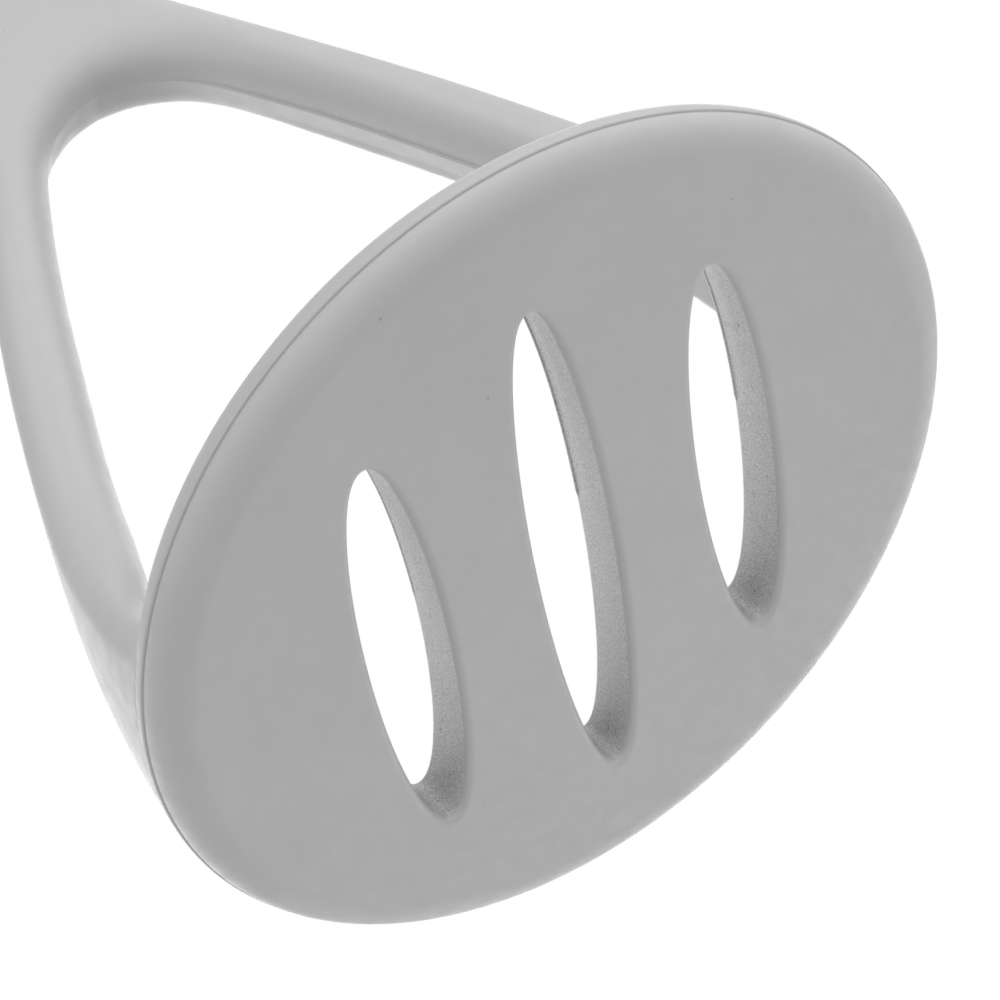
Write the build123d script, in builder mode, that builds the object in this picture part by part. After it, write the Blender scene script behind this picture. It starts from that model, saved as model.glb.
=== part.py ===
from build123d import *
import os

os.makedirs("parts", exist_ok=True)

# Potato masher standing on its mashing face.
# Origin: middle of the mashing face. +Z: up the handle. X: from foot to foot of the fork.
# Y: along the slots, and through the open side of the fork. Millimetres.

# Mashing disc, as seen outside
disc_diameter = 90.3
disc_thickness = 6.4
rim_line_height = 2.6
face_round_width = 5.0
back_round_width = 4.5

# Slots in the disc, each an ellipse
slot_pitch = 18.9
slot_width = 8.6
outer_slot_length = 48.2
middle_slot_length = 61.2
slot_face_round = 0.8
slot_back_round = 0.4

# Fork, from the disc's rim up to the neck
head_height = 120.0
arch_height = 92.0
arch_foot_span = 74.0
arm_depth = 10.9
foot_spread = 35.0
foot_setback = 0.3
fork_outer_round = 2.6
fork_inner_round = 3.3
foot_round = 2.4
neck_diameter = 17.0
neck_depth = 14.0

# Silicone wall over the hidden insert
skin_thickness = 1.6
slot_skin_thickness = 1.2

# Handle grip, as seen outside
overall_length = 270.0
grip_diameter = 26.0
grip_depth = 19.0
grip_edge_round = 4.0
grip_wall = 2.4
grip_base_diameter = 18.0
grip_end_radius = 12.0

# Steel collar between head and grip
collar_height = 6.0
collar_diameter = 19.4
collar_edge_round = 0.8
spigot_diameter = 10.0

# Steel rod through the neck, and the pins that hold it
rod_diameter = 5.0
rod_in_head = 20.0
rod_in_handle = 80.0
pin_diameter = 2.5
neck_pin_length = 12.0
handle_pin_length = 16.0
pin_to_rod_end = 8.0

# Hanging hole
hole_diameter = 8.0
bush_wall = 1.6
hole_to_end = 13.0
bush_length = 16.6
bush_edge_round = 0.6

# Fits
bore_clearance = 0.05

# Outer side of the fork: share of the disc's radius, share of the head's height
fork_side_shares = (
    (0.946, 0.15),
    (0.835, 0.30),
    (0.700, 0.45),
    (0.536, 0.60),
    (0.359, 0.75),
    (0.239, 0.8475),
)
# Inner side of the fork: share of half the arch's span, share of the arch's height
arch_side_shares = (
    (0.995, 0.105),
    (0.938, 0.196),
    (0.803, 0.391),
    (0.635, 0.587),
    (0.498, 0.734),
    (0.338, 0.880),
    (0.213, 0.963),
)
# Depth of a foot: share of half its spread, share of the head's height
foot_depth_shares = (
    (0.92, 0.030),
    (0.805, 0.060),
    (0.685, 0.110),
    (0.575, 0.160),
    (0.480, 0.200),
    (0.385, 0.250),
    (0.310, 0.3125),
)
# Depth of the fork: share of half the arm's depth, share of the head's height
arm_depth_shares = ((0.89, 0.40), (0.92, 0.50), (0.96, 0.625), (1.0, 0.75), (1.05, 0.85))
# Grip seen along Y: share of half its diameter, share of its length
grip_side_shares = ((0.80, 0.14), (0.93, 0.30), (0.99, 0.47), (1.0, 0.60), (0.975, 0.78))
# Grip seen along X: share of half its depth, share of its length
grip_depth_shares = (
    (0.80, 0.0),
    (0.86, 0.14),
    (0.95, 0.30),
    (0.995, 0.47),
    (1.0, 0.60),
    (0.96, 0.80),
    (0.86, 1.0),
)

# Sizes worked out from the ones above
disc_radius = disc_diameter / 2
neck_radius = neck_diameter / 2
collar_base = head_height
collar_top = collar_base + collar_height
spigot_joint = collar_base + collar_height / 2
grip_length = overall_length - collar_top
hole_height = overall_length - hole_to_end
bush_diameter = hole_diameter + 2 * bush_wall
rod_base = head_height - rod_in_head
rod_top = collar_top + rod_in_handle
neck_pin_height = rod_base + pin_to_rod_end
handle_pin_height = rod_top - pin_to_rod_end


def disc_outline(inset):
    """Half section of the disc in the XZ plane, drawn inside the outside by the inset."""
    radius = disc_radius - inset
    face = inset
    back = disc_thickness - inset
    face_edge = radius - face_round_width
    back_edge = radius - back_round_width
    with BuildLine() as outline:
        Line((0, face), (face_edge, face))
        EllipticalCenterArc(
            (face_edge, rim_line_height), face_round_width, rim_line_height - face, 270, arc_size=90
        )
        EllipticalCenterArc(
            (back_edge, rim_line_height), back_round_width, back - rim_line_height, 0, arc_size=90
        )
        Line((back_edge, back), (0, back))
        Line((0, back), (0, face))
    return outline.wire()


def slot_outlines(grow):
    """The three slots, each grown by the given wall."""
    with Locations((-slot_pitch, 0), (slot_pitch, 0)):
        Ellipse(slot_width / 2 + grow, outer_slot_length / 2 + grow)
    Ellipse(slot_width / 2 + grow, middle_slot_length / 2 + grow)


def fork_side_outline(inset):
    """Half section of the bell that gives the fork its outer side."""
    foot = (disc_radius - foot_setback - inset, rim_line_height)
    neck = (neck_radius - inset, head_height)
    side = [(share * disc_radius - inset, rise * head_height) for share, rise in fork_side_shares]
    with BuildLine() as outline:
        Line((0, rim_line_height), foot)
        Spline(foot, *side, neck, tangents=((0, 1), (0, 1)))
        Line(neck, (0, head_height))
        Line((0, head_height), (0, rim_line_height))
    return outline.wire()


def fork_depth_outline(inset):
    """Front and back of the fork seen along X, with the feet spreading at the disc."""
    foot = (foot_spread / 2 - inset, rim_line_height)
    neck = (neck_depth / 2 - inset, head_height)
    side = [(share * foot_spread / 2 - inset, rise * head_height) for share, rise in foot_depth_shares]
    side += [(share * arm_depth / 2 - inset, rise * head_height) for share, rise in arm_depth_shares]
    with BuildLine() as outline:
        front = Spline(foot, *side, neck)
        mirror(front, about=Plane.YZ)
        Line((-foot[0], rim_line_height), foot)
        Line((-neck[0], head_height), neck)
    return outline.wire()


def arch_outline(inset):
    """The open space between the arms, seen along Y, with rounded lower corners."""
    floor = disc_thickness - inset
    side = [
        (share * arch_foot_span / 2 + inset, rise * arch_height) for share, rise in arch_side_shares
    ]
    right = [(arch_foot_span / 2 + inset, floor), *side]
    left = [(-x, z) for x, z in reversed(right)]
    with BuildLine() as outline:
        Spline(*right, (0, arch_height + inset), *left)
        Line(left[-1], right[0])
    with BuildSketch() as opening:
        make_face(outline.wire())
        fillet(opening.vertices(), foot_round)
    return opening.face()


def grip_side_outline(inset):
    """Half section of the round body that gives the grip its width."""
    end_radius = grip_end_radius - inset
    top = overall_length - inset
    base = (grip_base_diameter / 2 - inset, collar_top)
    shoulder = (end_radius, top - end_radius)
    side = [
        (share * grip_diameter / 2 - inset, collar_top + rise * grip_length)
        for share, rise in grip_side_shares
    ]
    with BuildLine() as outline:
        Line((0, collar_top), base)
        Spline(base, *side, shoulder, tangents=((0, 1), (0, 1)))
        CenterArc((0, top - end_radius), end_radius, 0, 90)
        Line((0, top), (0, collar_top))
    return outline.wire()


def grip_depth_outline(inset):
    """Front and back of the grip seen along X."""
    side = [
        (share * grip_depth / 2 - inset, collar_top + rise * grip_length)
        for share, rise in grip_depth_shares
    ]
    base_width = side[0][0]
    end_width = side[-1][0]
    with BuildLine() as outline:
        front = Spline(*side)
        mirror(front, about=Plane.YZ)
        Line((-base_width, collar_top), (base_width, collar_top))
        Line((-end_width, overall_length), (end_width, overall_length))
    return outline.wire()


def long_edges(body, select=Select.ALL):
    """The edges that run along a body, without those of its flat ends."""
    ends = [edge for face in body.faces().filter_by(Plane.XY) for edge in face.edges()]
    return body.edges(select).filter_by(lambda edge: edge not in ends)


# Shape of the head insert without its bores
with BuildPart() as insert_shape:
    with BuildSketch(Plane.XZ):
        make_face(fork_side_outline(skin_thickness))
    revolve(axis=Axis.Z)
    with BuildSketch(Plane.YZ.offset(-disc_diameter)):
        make_face(fork_depth_outline(skin_thickness))
    extrude(amount=2 * disc_diameter, mode=Mode.INTERSECT)
    fillet(long_edges(insert_shape), fork_outer_round - skin_thickness)
    with BuildSketch(Plane.XZ.offset(-disc_diameter)):
        add(arch_outline(skin_thickness))
    extrude(amount=2 * disc_diameter, mode=Mode.SUBTRACT)
    fillet(long_edges(insert_shape, Select.LAST), fork_inner_round - skin_thickness)
    with BuildSketch(Plane.XZ):
        make_face(disc_outline(skin_thickness))
    revolve(axis=Axis.Z)
    with BuildSketch(Plane.XY):
        slot_outlines(slot_skin_thickness)
    extrude(amount=disc_thickness, mode=Mode.SUBTRACT)

# Shape of the handle core without its bores
with BuildPart() as core_shape:
    with BuildSketch(Plane.XZ):
        make_face(grip_side_outline(grip_wall))
    revolve(axis=Axis.Z)
    with BuildSketch(Plane.YZ.offset(-grip_diameter)):
        make_face(grip_depth_outline(grip_wall))
    extrude(amount=2 * grip_diameter, mode=Mode.INTERSECT)
    fillet(long_edges(core_shape), grip_edge_round - grip_wall)

# Tang rod: stainless steel, runs from the neck far into the handle
with BuildPart() as tang_rod:
    with BuildSketch(Plane.XY.offset(rod_base)):
        Circle(rod_diameter / 2)
    extrude(amount=rod_top - rod_base)
    for height in (neck_pin_height, handle_pin_height):
        with BuildSketch(Plane.YZ.offset(-rod_diameter)):
            with Locations((0, height)):
                Circle(pin_diameter / 2 + bore_clearance)
        extrude(amount=2 * rod_diameter, mode=Mode.SUBTRACT)
tang_rod.part.label = "tang_rod"
export_step(tang_rod.part, "parts/tang_rod.step")

# Neck pin: locks the rod in the head insert
with BuildPart() as neck_pin:
    with BuildSketch(Plane.YZ.offset(-neck_pin_length / 2)):
        with Locations((0, neck_pin_height)):
            Circle(pin_diameter / 2)
    extrude(amount=neck_pin_length)
neck_pin.part.label = "neck_pin"
export_step(neck_pin.part, "parts/neck_pin.step")

# Handle pin: locks the rod in the handle core
with BuildPart() as handle_pin:
    with BuildSketch(Plane.YZ.offset(-handle_pin_length / 2)):
        with Locations((0, handle_pin_height)):
            Circle(pin_diameter / 2)
    extrude(amount=handle_pin_length)
handle_pin.part.label = "handle_pin"
export_step(handle_pin.part, "parts/handle_pin.step")

# Head insert: the stiff moulding hidden in the silicone, with a spigot for the collar
with BuildPart() as head_insert:
    add(insert_shape.part)
    with BuildSketch(Plane.XY.offset(head_height)):
        Circle(spigot_diameter / 2)
    extrude(amount=collar_height / 2)
    with BuildSketch(Plane.XY.offset(rod_base)):
        Circle(rod_diameter / 2 + bore_clearance)
    extrude(amount=rod_top - rod_base, mode=Mode.SUBTRACT)
    with BuildSketch(Plane.YZ.offset(-neck_pin_length / 2)):
        with Locations((0, neck_pin_height)):
            Circle(pin_diameter / 2 + bore_clearance)
    extrude(amount=neck_pin_length, mode=Mode.SUBTRACT)
head_insert.part.label = "head_insert"
export_step(head_insert.part, "parts/head_insert.step")

# Head skin: the moulded silicone that covers disc, fork and neck
with BuildPart() as head_skin:
    with BuildSketch(Plane.XZ):
        make_face(fork_side_outline(0))
    revolve(axis=Axis.Z)
    with BuildSketch(Plane.YZ.offset(-disc_diameter)):
        make_face(fork_depth_outline(0))
    extrude(amount=2 * disc_diameter, mode=Mode.INTERSECT)
    fillet(long_edges(head_skin), fork_outer_round)
    with BuildSketch(Plane.XZ.offset(-disc_diameter)):
        add(arch_outline(0))
    extrude(amount=2 * disc_diameter, mode=Mode.SUBTRACT)
    fillet(long_edges(head_skin, Select.LAST), fork_inner_round)
    with BuildSketch(Plane.XZ):
        make_face(disc_outline(0))
    revolve(axis=Axis.Z)
    with BuildSketch(Plane.XY):
        slot_outlines(0)
    extrude(amount=disc_thickness, mode=Mode.SUBTRACT)
    slot_rims = head_skin.edges().filter_by(GeomType.ELLIPSE)
    fillet(slot_rims.filter_by_position(Axis.Z, 0, 0), slot_face_round)
    fillet(slot_rims.filter_by_position(Axis.Z, disc_thickness, disc_thickness), slot_back_round)
    add(insert_shape.part, mode=Mode.SUBTRACT)
head_skin.part.label = "head_skin"
export_step(head_skin.part, "parts/head_skin.step")

# Neck collar: steel ring between the silicone head and the grip
with BuildPart() as neck_collar:
    with BuildSketch(Plane.XY.offset(collar_base)):
        Circle(collar_diameter / 2)
        Circle(spigot_diameter / 2 + bore_clearance, mode=Mode.SUBTRACT)
    extrude(amount=collar_height)
    fillet(neck_collar.edges().filter_by(GeomType.CIRCLE).group_by(SortBy.RADIUS)[-1], collar_edge_round)
neck_collar.part.label = "neck_collar"
export_step(neck_collar.part, "parts/neck_collar.step")

# Handle core: stiff moulding round the rod, with a spigot for the collar
with BuildPart() as handle_core:
    add(core_shape.part)
    with BuildSketch(Plane.XY.offset(spigot_joint)):
        Circle(spigot_diameter / 2)
    extrude(amount=collar_height / 2)
    with BuildSketch(Plane.XY.offset(rod_base)):
        Circle(rod_diameter / 2 + bore_clearance)
    extrude(amount=rod_top - rod_base, mode=Mode.SUBTRACT)
    with BuildSketch(Plane.YZ.offset(-handle_pin_length / 2)):
        with Locations((0, handle_pin_height)):
            Circle(pin_diameter / 2 + bore_clearance)
    extrude(amount=handle_pin_length, mode=Mode.SUBTRACT)
    with BuildSketch(Plane.XZ.offset(-grip_depth)):
        with Locations((0, hole_height)):
            Circle(bush_diameter / 2)
    extrude(amount=2 * grip_depth, mode=Mode.SUBTRACT)
handle_core.part.label = "handle_core"
export_step(handle_core.part, "parts/handle_core.step")

# Handle grip: the silicone sleeve that the hand holds
with BuildPart() as handle_grip:
    with BuildSketch(Plane.XZ):
        make_face(grip_side_outline(0))
    revolve(axis=Axis.Z)
    with BuildSketch(Plane.YZ.offset(-grip_diameter)):
        make_face(grip_depth_outline(0))
    extrude(amount=2 * grip_diameter, mode=Mode.INTERSECT)
    fillet(long_edges(handle_grip), grip_edge_round)
    with BuildSketch(Plane.XZ.offset(-grip_depth)):
        with Locations((0, hole_height)):
            Circle(bush_diameter / 2)
    extrude(amount=2 * grip_depth, mode=Mode.SUBTRACT)
    add(core_shape.part, mode=Mode.SUBTRACT)
handle_grip.part.label = "handle_grip"
export_step(handle_grip.part, "parts/handle_grip.step")

# Hanging bush: steel ring that lines the hanging hole
with BuildPart() as hanging_bush:
    with BuildSketch(Plane.XZ.offset(-bush_length / 2)):
        with Locations((0, hole_height)):
            Circle(bush_diameter / 2)
            Circle(hole_diameter / 2, mode=Mode.SUBTRACT)
    extrude(amount=bush_length)
    fillet(hanging_bush.edges().filter_by(GeomType.CIRCLE).group_by(SortBy.RADIUS)[0], bush_edge_round)
hanging_bush.part.label = "hanging_bush"
export_step(hanging_bush.part, "parts/hanging_bush.step")
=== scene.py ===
import math

import bmesh
import bpy
import numpy as np
from mathutils import Matrix, Vector


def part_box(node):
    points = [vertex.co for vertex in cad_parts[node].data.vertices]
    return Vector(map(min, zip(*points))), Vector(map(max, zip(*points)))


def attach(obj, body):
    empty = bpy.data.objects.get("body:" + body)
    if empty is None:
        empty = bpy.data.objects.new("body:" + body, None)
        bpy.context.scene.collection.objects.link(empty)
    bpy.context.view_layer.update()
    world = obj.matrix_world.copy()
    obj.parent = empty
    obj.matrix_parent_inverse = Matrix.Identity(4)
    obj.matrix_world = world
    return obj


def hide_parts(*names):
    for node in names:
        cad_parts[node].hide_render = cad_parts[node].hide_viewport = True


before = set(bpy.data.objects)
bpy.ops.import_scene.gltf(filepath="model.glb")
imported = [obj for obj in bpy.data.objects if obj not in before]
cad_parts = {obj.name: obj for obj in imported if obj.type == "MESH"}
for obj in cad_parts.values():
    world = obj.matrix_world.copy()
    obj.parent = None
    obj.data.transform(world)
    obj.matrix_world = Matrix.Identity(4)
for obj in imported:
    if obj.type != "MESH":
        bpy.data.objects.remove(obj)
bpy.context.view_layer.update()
skin_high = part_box("head_skin")[1]

MM = 0.001

# Camera of the photograph, solved from the disc's rim, its slots and the fork.
# The shift is in hundredths of the disc's diameter, which MODEL_SCALE turns into metres.
IMAGE_SIZE = 1000
SENSOR = 36.0
FOCAL_PIXELS = 3496.17
MODEL_SCALE = 0.9 * MM
CAMERA_TURN = (0.7299, -0.5059, -0.3793)
CAMERA_SHIFT = (8.082, 5.590, 363.648)

# Disc, in millimetres. The parting line lies between the face's mould and the back's.
DISC_RADIUS = round(skin_high.x / MM, 2)
DISC_THICKNESS = 6.4
FACE_ROUND = 4.0
FACE_POWER = 1.85
BACK_ROUND = 4.0
RIM_HEIGHT = 3.0
PARTING_HEIGHT = 2.7
PARTING_STEP = 0.22
PARTING_GROOVE = 0.12
PARTING_WIDTH = 0.08
RIM_STEPS = 360
RIM_FACE_STEPS = 20
RIM_LIP_STEPS = 4
RIM_BACK_STEPS = 14
SLOT_FACE_STEPS = 8
SUPPORT_GAP = 0.15

# Slots: place across, half length, how far the flash lip stands proud
SLOTS = ((-18.9, 24.1, 0.05), (0.0, 30.6, 0.13), (18.9, 24.1, 0.09))
SLOT_HALF_WIDTH = 4.3
SLOT_FACE_ROUND = 0.8
SLOT_BACK_ROUND = 0.4
SLOT_STEPS = 200
SLOT_BACK_STEPS = 6
LIP_HEIGHT = 0.62
LIP_ROUND = 0.1
LIP_FACE = 0.06
LIP_RUN_OUT = 0.3

# Fork. Its parting plane lies a little to the front of the disc.
NECK_TOP = round(skin_high.z / MM, 2)
FORK_SHIFT = -0.36
SEAM_WIDTH = 0.1
SEAM_STEP = 0.06
# How far the back half of the arch lies from the front half, across and up,
# how much closer its two arms stand, its draft at each height and how deep that goes
BACK_SHIFT = (-0.25, 0.35)
BACK_NARROW = 0.15
BACK_DRAFT = ((0.0, 0.0), (0.0, 16.0), (0.26, 40.0), (0.26, 80.0), (0.2, 90.0), (0.2, 121.0))
DRAFT_DEPTH = 3.0
NECK_FADE = 20.0
FOOT_BLEND = 1.6
LEAST_BLEND = 0.1
FOOT_BASE = 3.6
SKIN_SINK = 0.05

# Grid on which the fork's surface is found, finer round the parting line
GRID = 0.5
GRID_WIDTH = 47.0
GRID_DEPTH = 26.0
SEAM_GRID = 0.05
SEAM_PLANES = (-8, -4.5, -2.5, -1.5, -0.5, 0.5, 1.5, 2.5, 4.5, 8)

# Half width of the fork's outer side, at each height
FORK_SIDE = (
    (45.0, 1.0),
    (45.0, 2.6),
    (44.5, 8.0),
    (42.7, 18.0),
    (37.7, 36.0),
    (31.6, 54.0),
    (24.5, 72.0),
    (16.9, 90.0),
    (12.0, 101.7),
    (9.6, 109.0),
    (8.8, 114.0),
    (8.5, 121.0),
)
# Inner side of an arm, from the disc up to the top of the arch
ARCH_SIDE = (
    (34.5, 4.4),
    (37.2, 6.6),
    (37.9, 9.7),
    (35.4, 18.0),
    (29.7, 36.0),
    (23.5, 54.0),
    (18.4, 67.6),
    (12.5, 81.1),
    (9.2, 86.9),
    (7.6, 88.7),
    (5.7, 90.2),
    (3.3, 91.5),
    (0.0, 92.2),
)
# Half depth of the fork, at each height
FORK_DEPTH = (
    (18.0, 1.5),
    (16.6, 3.2),
    (14.1, 7.2),
    (12.0, 13.2),
    (10.1, 19.2),
    (8.4, 24.0),
    (6.7, 30.0),
    (5.4, 38.0),
    (4.85, 48.0),
    (4.9, 60.0),
    (4.95, 75.0),
    (5.0, 90.0),
    (5.5, 102.0),
    (6.3, 111.0),
    (7.0, 121.0),
)
# Radius of the fork's outer edges, at each height
OUTER_EDGE = ((2.6, 0.0), (2.6, 85.0), (2.8, 95.0), (3.6, 108.0), (5.4, 121.0))
# Width of the rounding beside the arch, at each height
INNER_EDGE = ((3.3, 0.0), (3.3, 40.0), (3.5, 65.0), (4.0, 80.0), (5.4, 90.0), (5.6, 121.0))
# Radius of the arch's back edge, at each height
BACK_EDGE = ((1.5, 0.0), (1.5, 68.0), (1.8, 75.0), (2.5, 83.0), (2.9, 89.0), (3.0, 95.0), (3.0, 121.0))
INNER_DEPTH = 5.0
INNER_POWER = 2.25

# Studio, in metres
FLOOR_RADIUS = 0.4
FLOOR_HEIGHT = -0.45
FLOOR_COLOUR = (0.80, 0.80, 0.80)
WORLD_LIGHT = 0.37
LAMP_SIZE = 1.8
LAMP_DISTANCE = 1.6
LAMP_TARGET = (0.0, 0.0, 0.05)
# Lamps: name, direction by the camera's right, up and back, watts
LAMPS = (
    ("key_above", (0, 1, 1), 12.0),
    ("top", (0, 1, 0), 8.0),
    ("top_right", (1, 1, 0), 10.5),
    ("front_left", (-1, 0, 1), 10.0),
    ("behind", (0, 0, -1), 15.0),
    ("rim_left", (-1, -1, -1), 13.0),
    ("rim_right", (1, -1, -1), 10.0),
)


def photo_camera():
    """The camera at the photograph's place: looking up at the mashing face from below."""
    turn = Vector(CAMERA_TURN)
    rotation = Matrix.Rotation(turn.length, 3, turn.normalized())
    place = -(rotation.transposed() @ Vector(CAMERA_SHIFT)) * MODEL_SCALE
    data = bpy.data.cameras.new("camera")
    data.sensor_width = SENSOR
    data.lens = FOCAL_PIXELS * SENSOR / IMAGE_SIZE
    data.clip_start = 0.01
    camera = bpy.data.objects.new("camera", data)
    axes = Matrix((rotation[0], -rotation[1], -rotation[2])).transposed()
    camera.matrix_world = Matrix.Translation(place) @ axes.to_4x4()
    bpy.context.collection.objects.link(camera)
    bpy.context.scene.camera = camera
    return camera


def smooth_line(points, count=160):
    """Points close together on a natural cubic spline through the given ones."""
    p = np.array(points, float)
    knots = np.r_[0, np.cumsum(np.linalg.norm(np.diff(p, axis=0), axis=1))]
    n = len(p)
    h = np.diff(knots)
    slope = np.diff(p, axis=0) / h[:, None]
    system = np.eye(n)
    right = np.zeros((n, 2))
    for i in range(1, n - 1):
        system[i, i - 1 : i + 2] = h[i - 1], 2 * (h[i - 1] + h[i]), h[i]
        right[i] = 3 * (slope[i] - slope[i - 1])
    bend = np.linalg.solve(system, right)
    s = np.linspace(0, knots[-1], count)
    k = np.clip(np.searchsorted(knots, s, "right") - 1, 0, n - 2)
    u = (s - knots[k])[:, None]
    first = slope[k] - h[k][:, None] * (2 * bend[k] + bend[k + 1]) / 3
    third = (bend[k + 1] - bend[k]) / (3 * h[k][:, None])
    return p[k] + first * u + bend[k] * u**2 + third * u**3


side_line = smooth_line(FORK_SIDE)
depth_line = smooth_line(FORK_DEPTH)
outer_edge_line = smooth_line(OUTER_EDGE)
inner_edge_line = smooth_line(INNER_EDGE)
arch_line = smooth_line(ARCH_SIDE)
back_edge_line = np.array(BACK_EDGE)
back_draft_line = np.array(BACK_DRAFT)


def at_height(line, z):
    """Value of a table of (value, height) points at a height."""
    return np.interp(z, line[:, 1], line[:, 0])


def slope_at(line, z):
    """How fast such a table's value changes with height."""
    return np.interp(z, line[:, 1], np.gradient(line[:, 0], line[:, 1]))


def arch_distance(x, z):
    """Distance to the arch's edge: positive in the open space, negative in the arms."""
    start, end = arch_line[:-1], arch_line[1:]
    along = end - start
    length = np.linalg.norm(along, axis=1)
    flat_x, flat_z = np.abs(x).ravel(), z.ravel()
    out = np.empty(len(flat_x))
    for first in range(0, len(flat_x), 20000):
        px = flat_x[first : first + 20000, None] - start[None, :, 0]
        pz = flat_z[first : first + 20000, None] - start[None, :, 1]
        t = np.clip((px * along[:, 0] + pz * along[:, 1]) / length**2, 0, 1)
        dx, dz = px - t * along[:, 0], pz - t * along[:, 1]
        square = dx**2 + dz**2
        best = square.argmin(1)
        rows = np.arange(len(best))
        side = along[best, 0] * pz[rows, best] - along[best, 1] * px[rows, best]
        out[first : first + 20000] = np.sqrt(square[rows, best]) * np.sign(side)
    return out.reshape(x.shape)


def arch_halves(x, z):
    """Distances to the arch's edge as the front and the back half of the mould have it."""
    back_x = np.abs(x - BACK_SHIFT[0]) + BACK_NARROW
    return arch_distance(x, z), arch_distance(back_x, z - BACK_SHIFT[1])


def smooth_union(a, b, radius):
    """The lower of two fields, with a round fillet in the corner between them."""
    inner = np.sqrt(np.maximum(radius - a, 0) ** 2 + np.maximum(radius - b, 0) ** 2)
    return np.where((a < radius) & (b < radius), radius - inner, np.minimum(a, b))


def disc_field(rho, z):
    """Distance-like field of the disc's back half, without its slots."""
    high = DISC_THICKNESS - RIM_HEIGHT
    u = np.maximum(rho - (DISC_RADIUS - BACK_ROUND), 0) / BACK_ROUND
    v = np.maximum(z - RIM_HEIGHT, 0) / high
    return (np.hypot(u, v) - 1) * high


def fork_field(x, y, z, arch=None):
    """Field of the fork and of its blend into the disc: negative inside."""
    if arch is None:
        arch = arch_halves(x, z)
    middle = FORK_SHIFT * np.clip((NECK_TOP - z) / NECK_FADE, 0, 1)
    off = y - middle
    rho = np.hypot(x, y)
    back = np.clip(off / SEAM_WIDTH + 0.5, 0, 1)
    edge_away = (1 - back) * arch[0] + back * (arch[1] - SEAM_STEP)
    outer = (rho - at_height(side_line, z)) / np.hypot(1, slope_at(side_line, z))
    half = at_height(depth_line, z)
    over = np.abs(off) - half
    edge = at_height(outer_edge_line, z)
    body = (np.hypot(np.maximum(outer / edge + 1, 0), np.maximum(over / edge + 1, 0)) - 1) * edge
    wide = at_height(inner_edge_line, z)
    deep = np.minimum(half, INNER_DEPTH)
    u = np.maximum(edge_away / wide + 1, 0) ** INNER_POWER
    v = np.maximum(over / deep + 1, 0) ** INNER_POWER
    front = ((u + v) ** (1 / INNER_POWER) - 1) * np.minimum(wide, deep)
    draft = at_height(back_draft_line, z)
    wall = (edge_away + np.minimum(off, DRAFT_DEPTH) * draft) / np.hypot(1, draft)
    round_off = at_height(back_edge_line, z)
    drafted = np.hypot(np.maximum(wall / round_off + 1, 0), np.maximum(over / round_off + 1, 0))
    body = np.maximum(body, np.where(off > 0, (drafted - 1) * round_off, front))
    disc = disc_field(rho, z) + SKIN_SINK
    blend = FOOT_BLEND * np.clip((DISC_RADIUS - rho) / BACK_ROUND, LEAST_BLEND, 1)
    joined = smooth_union(body, disc, blend)
    joined = np.maximum(joined, body - 2 * FOOT_BLEND)
    return np.maximum(np.maximum(joined, z - NECK_TOP), FOOT_BASE - z)


def levels(low, high, step, fine_at=None):
    """Grid planes from low to high, closer together round one place."""
    planes = np.arange(low, high + step, step)
    if fine_at is None:
        return planes
    planes = planes[np.abs(planes - fine_at) > step]
    fine = fine_at + np.array(SEAM_PLANES) * SEAM_GRID
    return np.sort(np.r_[planes, fine])


def net_mesh(xs, ys, zs, values):
    """Closed surface where the values on a grid change sign: (points, quads)."""
    inside = values < 0
    nx, ny, nz = values.shape
    cells = np.zeros((nx - 1, ny - 1, nz - 1, 3))
    hits = np.zeros((nx - 1, ny - 1, nz - 1))
    grids = (xs, ys, zs)
    crossings = []
    for axis in range(3):
        low = [slice(None)] * 3
        high = [slice(None)] * 3
        low[axis], high[axis] = slice(0, -1), slice(1, None)
        cross = inside[tuple(low)] != inside[tuple(high)]
        crossings.append(cross)
        where = np.argwhere(cross)
        a = values[tuple(low)][cross]
        b = values[tuple(high)][cross]
        share = a / (a - b)
        point = np.stack([grids[k][where[:, k]] for k in range(3)], 1)
        gap = np.diff(grids[axis])[where[:, axis]]
        point[:, axis] += share * gap
        others = [k for k in range(3) if k != axis]
        for da in (0, 1):
            for db in (0, 1):
                cell = where.copy()
                cell[:, others[0]] -= da
                cell[:, others[1]] -= db
                np.add.at(cells, tuple(cell.T), point)
                np.add.at(hits, tuple(cell.T), 1)
    used = hits > 0
    index = np.full(hits.shape, -1)
    index[used] = np.arange(used.sum())
    points = cells[used] / hits[used][:, None]
    quads = []
    for axis in range(3):
        others = [(axis + 1) % 3, (axis + 2) % 3]
        where = np.argwhere(crossings[axis])
        step = np.zeros((4, 3), int)
        step[1, others[0]] = step[2, others[0]] = -1
        step[2, others[1]] = step[3, others[1]] = -1
        corner = where[:, None, :] + step[None]
        quad = index[corner[..., 0], corner[..., 1], corner[..., 2]]
        starts_inside = inside[tuple(where.T)]
        quad[~starts_inside] = quad[~starts_inside][:, ::-1]
        quads.append(quad)
    return points, np.concatenate(quads)


def settle(points, field, rounds=3, reach=0.2):
    """Moves points along the field's slope until they lie on its zero surface."""
    p = points.copy()
    e = 0.01
    for _ in range(rounds):
        value = field(*p.T)
        slope = np.stack([(field(*(p + e * axis).T) - value) / e for axis in np.eye(3)], 1)
        move = -value[:, None] * slope / np.maximum((slope**2).sum(1), 0.2)[:, None]
        far = np.linalg.norm(move, axis=1)
        move *= np.minimum(1, reach / np.maximum(far, 1e-9))[:, None]
        p += move
    return p


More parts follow.
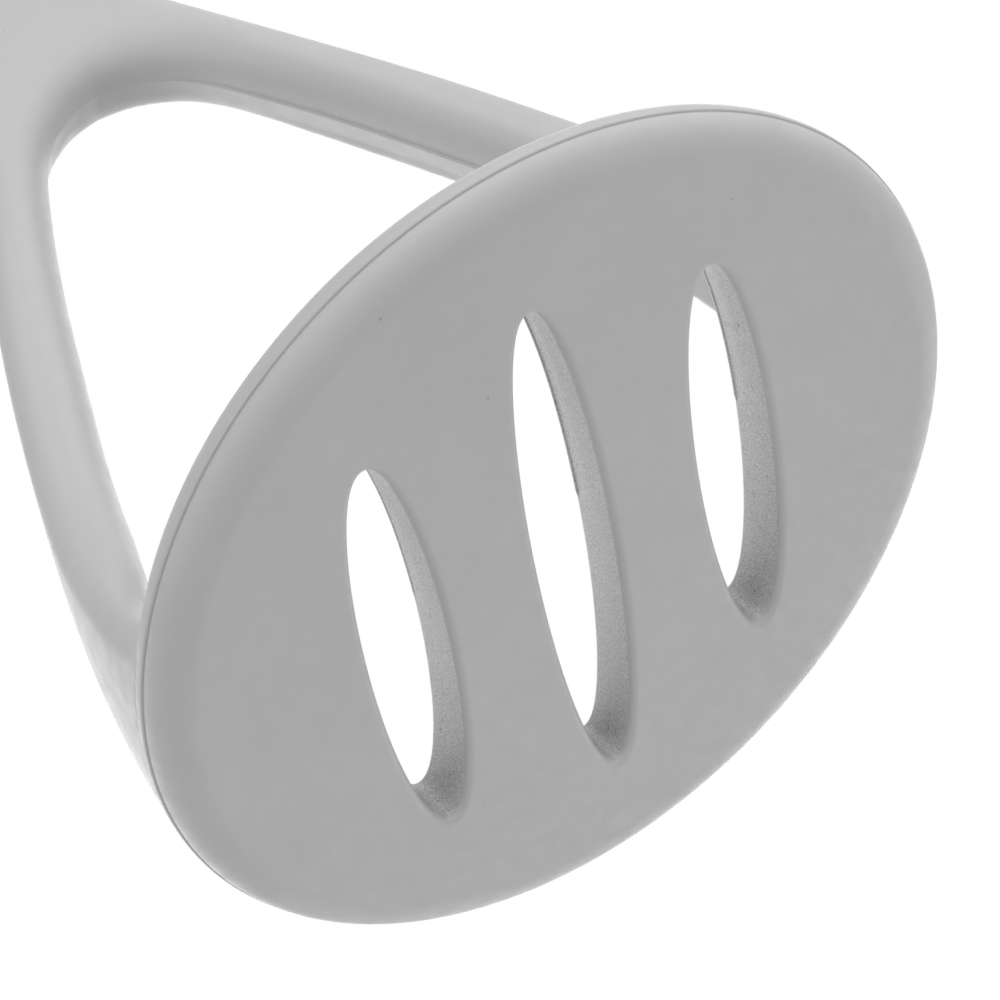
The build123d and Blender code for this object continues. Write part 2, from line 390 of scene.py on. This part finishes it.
def fork_shell():
    """The fork as one closed mesh that sinks into the disc."""
    xs = levels(-GRID_WIDTH, GRID_WIDTH, GRID)
    ys = levels(-GRID_DEPTH, GRID_DEPTH, GRID, FORK_SHIFT)
    zs = levels(FOOT_BASE - GRID, NECK_TOP + 2 * GRID, GRID)
    arch = [half[:, None, :] for half in arch_halves(*np.meshgrid(xs, zs, indexing="ij"))]
    values = fork_field(xs[:, None, None], ys[None, :, None], zs[None, None, :], arch)
    points, quads = net_mesh(xs, ys, zs, values)
    return settle(points, fork_field), quads


def ellipse_loop(centre_x, half_length):
    """Points of a slot's wall and the outward directions there."""
    t = np.linspace(0, 2 * math.pi, SLOT_STEPS, endpoint=False)
    points = np.stack([centre_x + SLOT_HALF_WIDTH * np.cos(t), half_length * np.sin(t)], 1)
    outward = np.stack([np.cos(t) / SLOT_HALF_WIDTH, np.sin(t) / half_length], 1)
    outward /= np.linalg.norm(outward, axis=1)[:, None]
    return points, outward


def ring_loops(bm, rings, grained=()):
    """Adds rings of points and the faces between each ring and the next."""
    loops = [[bm.verts.new(p) for p in ring] for ring in rings]
    for k, (a, b) in enumerate(zip(loops, loops[1:])):
        n = len(a)
        for i in range(n):
            face = bm.faces.new((a[i], a[(i + 1) % n], b[(i + 1) % n], b[i]))
            face.material_index = int(k in grained)
    return loops


def quarter(steps, power=2.0):
    """Points (across, up) of a quarter round, from its start to its end."""
    a = np.linspace(0, math.pi / 2, steps + 1)
    return list(zip(np.sin(a) ** (2 / power), 1 - np.cos(a) ** (2 / power)))


def slot_wall(bm, centre_x, half_length, lip):
    """The wall of a slot with its rounded edges. Returns the loops in the two flat faces."""
    base, outward = ellipse_loop(centre_x, half_length)
    lipped = np.clip(-base[:, 1] / LIP_RUN_OUT, 0, 1)
    profile = [(SLOT_FACE_ROUND + SUPPORT_GAP, 0, 0)]
    profile += [(SLOT_FACE_ROUND * (1 - x), SLOT_FACE_ROUND * z, 0) for x, z in quarter(SLOT_FACE_STEPS)]
    lip_base = DISC_THICKNESS - LIP_HEIGHT
    grain_start = len(profile) - 2
    profile.append((0, (SLOT_FACE_ROUND + lip_base) / 2, 0))
    profile += [(0, lip_base - LIP_ROUND, 0), (0, lip_base, lip), (0, lip_base + LIP_FACE, -lip)]
    grain_end = len(profile) - 1
    for across, up in reversed(quarter(SLOT_BACK_STEPS)):
        out = SLOT_BACK_ROUND * (1 - across)
        profile.append((out, DISC_THICKNESS - SLOT_BACK_ROUND * up, -lip * across))
    profile.append((SLOT_BACK_ROUND + SUPPORT_GAP, DISC_THICKNESS, 0))
    rings = []
    for out, height, step in profile:
        xy = base + outward * (out + step * lipped)[:, None]
        rings.append(np.c_[xy, np.full(len(xy), height)])
    loops = ring_loops(bm, rings, range(grain_start, grain_end))
    return loops[0], loops[-1]


def rim_wall(bm):
    """The rim from the edge of the mashing face round to the edge of the back."""
    line = DISC_RADIUS - PARTING_STEP
    start = line - FACE_ROUND
    profile = [(start - SUPPORT_GAP, 0.0)]
    for x, z in quarter(RIM_FACE_STEPS, FACE_POWER):
        profile.append((start + FACE_ROUND * x, PARTING_HEIGHT * z))
    lip_start = PARTING_HEIGHT + PARTING_WIDTH
    profile.append((line - PARTING_GROOVE, PARTING_HEIGHT + PARTING_WIDTH / 2))
    profile.append((line, lip_start))
    lip_high = RIM_HEIGHT - lip_start
    lip = [(line + PARTING_STEP * x, lip_start + lip_high * z) for x, z in quarter(RIM_LIP_STEPS)]
    profile += lip[1:]
    high = DISC_THICKNESS - RIM_HEIGHT
    back = [(DISC_RADIUS - BACK_ROUND * x, RIM_HEIGHT + high * z) for z, x in quarter(RIM_BACK_STEPS)]
    profile += back[1:]
    profile.append((DISC_RADIUS - BACK_ROUND - SUPPORT_GAP, DISC_THICKNESS))
    turn = np.linspace(0, 2 * math.pi, RIM_STEPS, endpoint=False)
    rings = [
        np.stack([radius * np.cos(turn), radius * np.sin(turn), np.full(RIM_STEPS, height)], 1)
        for radius, height in profile
    ]
    loops = ring_loops(bm, rings)
    return loops[0], loops[-1]


def disc_shell():
    """The disc as one closed mesh with its three slots."""
    bm = bmesh.new()
    faces_low = []
    faces_high = []
    for centre_x, half_length, lip in SLOTS:
        low, high = slot_wall(bm, centre_x, half_length, lip)
        faces_low.append(low)
        faces_high.append(high)
    low, high = rim_wall(bm)
    faces_low.append(low)
    faces_high.append(high)
    for loops in (faces_low, faces_high):
        edges = []
        for loop in loops:
            edges += [bm.edges.get((a, b)) for a, b in zip(loop, loop[1:] + loop[:1])]
        bmesh.ops.triangle_fill(bm, edges=edges, use_beauty=True)
    bmesh.ops.recalc_face_normals(bm, faces=bm.faces)
    return bm


def head_piece():
    """The silicone head: disc and fork, in place of the CAD skin."""
    bm = disc_shell()
    points, quads = fork_shell()
    verts = [bm.verts.new(p) for p in points]
    for quad in quads:
        bm.faces.new([verts[i] for i in quad])
    bmesh.ops.scale(bm, vec=(MM, MM, MM), verts=bm.verts)
    mesh = bpy.data.meshes.new("head_silicone")
    bm.to_mesh(mesh)
    bm.free()
    mesh.shade_smooth()
    piece = bpy.data.objects.new("head_silicone", mesh)
    bpy.context.collection.objects.link(piece)
    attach(piece, "root")
    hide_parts("head_skin")
    return piece


def node(tree, kind, **inputs):
    """A shader node whose inputs are set to values or joined to other nodes' outputs."""
    made = tree.nodes.new("ShaderNode" + kind)
    for name, value in inputs.items():
        socket = made.inputs[name.replace("_", " ")]
        if isinstance(value, bpy.types.NodeSocket):
            tree.links.new(value, socket)
        else:
            socket.default_value = value
    return made


def noise(tree, place, scale, detail=2.0):
    """Grey cloud pattern, from 0 to 1."""
    return node(tree, "TexNoise", Vector=place, Scale=scale, Detail=detail).outputs["Fac"]


def ramp(tree, value, *stops):
    """Grey levels or colours at places from 0 to 1."""
    made = node(tree, "ValToRGB", Fac=value)
    band = made.color_ramp
    while len(band.elements) < len(stops):
        band.elements.new(0.5)
    for element, (place, level) in zip(band.elements, stops):
        element.position = place
        element.color = (level, level, level, 1) if isinstance(level, float) else (*level, 1)
    return made.outputs["Color"]


def mix(tree, kind, share, a, b):
    """Colour b laid over colour a, by a blend mode and a share."""
    made = tree.nodes.new("ShaderNodeMix")
    made.data_type = "RGBA"
    made.blend_type = kind
    for socket, value in ((made.inputs[0], share), (made.inputs[6], a), (made.inputs[7], b)):
        if isinstance(value, bpy.types.NodeSocket):
            tree.links.new(value, socket)
        else:
            socket.default_value = value
    return made.outputs[2]


def object_place(tree, scale=(1, 1, 1), shift=(0, 0, 0)):
    """Place on the object itself, stretched and moved."""
    place = tree.nodes.new("ShaderNodeTexCoord").outputs["Object"]
    return node(tree, "Mapping", Vector=place, Scale=scale, Location=shift).outputs["Vector"]


def specks(tree, scale, radius, shift):
    """White where a small round speck shows, black elsewhere."""
    place = object_place(tree, shift=shift)
    distance = node(tree, "TexVoronoi", Vector=place, Scale=scale).outputs["Distance"]
    edge = radius * scale
    return ramp(tree, distance, (0.6 * edge, 1.0), (edge, 0.0))


def plain_material(name):
    """A new node material and its shader."""
    material = bpy.data.materials.new(name)
    material.use_nodes = True
    return material, material.node_tree.nodes["Principled BSDF"]


def silicone_material():
    """Matte grey silicone: faint clouds, a fine skin, and a few dark and light specks."""
    material, shader = plain_material("silicone")
    tree = material.node_tree
    place = object_place(tree)
    clouds = ramp(tree, noise(tree, place, 60, 3), (0.3, 0.392), (0.7, 0.412))
    dirt = specks(tree, 170, 0.00017, (0.031, 0.012, 0.0))
    dust = specks(tree, 130, 0.00015, (0.4, 0.2, 0.1))
    darkened = mix(tree, "MULTIPLY", dirt, clouds, (0.68, 0.68, 0.68, 1))
    lightened = mix(tree, "SCREEN", dust, darkened, (0.09, 0.09, 0.09, 1))
    tree.links.new(lightened, shader.inputs["Base Color"])
    gloss = ramp(tree, noise(tree, place, 500, 3), (0.3, 0.46), (0.7, 0.58))
    tree.links.new(gloss, shader.inputs["Roughness"])
    skin = noise(tree, place, 4200, 2)
    bump = node(tree, "Bump", Height=skin, Strength=0.35, Distance=0.00003)
    tree.links.new(bump.outputs["Normal"], shader.inputs["Normal"])
    return material


def slot_grain_material():
    """The silicone in the slots, which keeps the spark-cut grain of the mould."""
    material, shader = plain_material("silicone_slot_grain")
    tree = material.node_tree
    fine = noise(tree, object_place(tree, (1, 0.7, 1.3)), 6500, 3)
    marks = noise(tree, object_place(tree, (1, 0.35, 1.6)), 2100, 2)
    grain = ramp(tree, fine, (0.34, 0.30), (0.52, 0.45), (0.68, 0.62))
    scratches = ramp(tree, marks, (0.27, 0.55), (0.33, 1.0))
    coloured = mix(tree, "MULTIPLY", 1.0, grain, scratches)
    tree.links.new(coloured, shader.inputs["Base Color"])
    shader.inputs["Roughness"].default_value = 0.6
    bump = node(tree, "Bump", Height=fine, Strength=0.6, Distance=0.00008)
    tree.links.new(bump.outputs["Normal"], shader.inputs["Normal"])
    return material


def nylon_material():
    """Dark glass-filled nylon with short pale fibres near its surface."""
    material, shader = plain_material("nylon")
    tree = material.node_tree
    fibres = noise(tree, object_place(tree, (3.0, 3.0, 0.5)), 900, 4)
    shade = ramp(tree, fibres, (0.45, (0.10, 0.10, 0.11)), (0.75, (0.17, 0.17, 0.18)))
    tree.links.new(shade, shader.inputs["Base Color"])
    tree.links.new(ramp(tree, fibres, (0.3, 0.42), (0.7, 0.6)), shader.inputs["Roughness"])
    bump = node(tree, "Bump", Height=fibres, Strength=0.3, Distance=0.00005)
    tree.links.new(bump.outputs["Normal"], shader.inputs["Normal"])
    return material


def steel_material(name, lay):
    """Brushed steel, with the brushing lines close together along one direction."""
    material, shader = plain_material(name)
    tree = material.node_tree
    lines = noise(tree, object_place(tree, lay), 420, 5)
    shade = ramp(tree, lines, (0.3, (0.52, 0.52, 0.53)), (0.7, (0.68, 0.68, 0.69)))
    tree.links.new(shade, shader.inputs["Base Color"])
    tree.links.new(ramp(tree, lines, (0.3, 0.24), (0.7, 0.38)), shader.inputs["Roughness"])
    shader.inputs["Metallic"].default_value = 1.0
    bump = node(tree, "Bump", Height=lines, Strength=0.25, Distance=0.00003)
    tree.links.new(bump.outputs["Normal"], shader.inputs["Normal"])
    return material


def dress_cad_nodes(silicone):
    """Gives every CAD node its material."""
    nylon = nylon_material()
    turned = steel_material("steel_turned", (0.4, 0.4, 20.0))
    ringed = steel_material("steel_ring", (0.4, 20.0, 0.4))
    cross = steel_material("steel_pin", (20.0, 0.4, 0.4))
    finishes = {
        "head_skin": silicone,
        "handle_grip": silicone,
        "head_insert": nylon,
        "handle_core": nylon,
        "tang_rod": turned,
        "neck_collar": turned,
        "hanging_bush": ringed,
        "neck_pin": cross,
        "handle_pin": cross,
    }
    for name, material in finishes.items():
        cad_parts[name].material_slots[0].material = material


def studio_floor():
    """Plain pale floor below the camera, which looks up at the masher from above it."""
    bm = bmesh.new()
    bmesh.ops.create_circle(bm, cap_ends=True, segments=128, radius=FLOOR_RADIUS)
    mesh = bpy.data.meshes.new("floor")
    bm.to_mesh(mesh)
    bm.free()
    floor = bpy.data.objects.new("floor", mesh)
    floor.location.z = FLOOR_HEIGHT
    bpy.context.collection.objects.link(floor)
    material, shader = plain_material("floor")
    shader.inputs["Base Color"].default_value = (*FLOOR_COLOUR, 1)
    shader.inputs["Roughness"].default_value = 0.9
    mesh.materials.append(material)


def studio_lamps(camera):
    """Broad round softboxes, placed by the camera's axes and aimed at the head."""
    turn = camera.matrix_world.to_3x3()
    for name, direction, watts in LAMPS:
        away = (turn @ Vector(direction)).normalized()
        data = bpy.data.lights.new(name, "AREA")
        data.shape = "DISK"
        data.size = LAMP_SIZE
        data.energy = watts
        lamp = bpy.data.objects.new(name, data)
        lamp.location = Vector(LAMP_TARGET) + away * LAMP_DISTANCE
        lamp.rotation_euler = away.to_track_quat("Z", "Y").to_euler()
        lamp.visible_camera = False
        bpy.context.collection.objects.link(lamp)


def studio_world():
    """White where the camera, a reflection or glass sees it, and softer as a light."""
    world = bpy.data.worlds.new("studio")
    bpy.context.scene.world = world
    world.use_nodes = True
    tree = world.node_tree
    path = tree.nodes.new("ShaderNodeLightPath").outputs
    seen = node(tree, "Math", Value=path["Is Camera Ray"])
    seen.operation = "ADD"
    tree.links.new(path["Is Glossy Ray"], seen.inputs[1])
    either = node(tree, "Math", Value=seen.outputs[0])
    either.operation = "ADD"
    either.use_clamp = True
    tree.links.new(path["Is Transmission Ray"], either.inputs[1])
    strength = node(tree, "MapRange", Value=either.outputs[0], To_Min=WORLD_LIGHT, To_Max=1.0)
    background = tree.nodes["Background"]
    background.inputs["Color"].default_value = (1, 1, 1, 1)
    tree.links.new(strength.outputs["Result"], background.inputs["Strength"])


camera = photo_camera()
silicone = silicone_material()
head = head_piece()
head.data.materials.append(silicone)
head.data.materials.append(slot_grain_material())
dress_cad_nodes(silicone)
studio_floor()
studio_lamps(camera)
studio_world()
bpy.context.scene.view_settings.view_transform = "Standard"
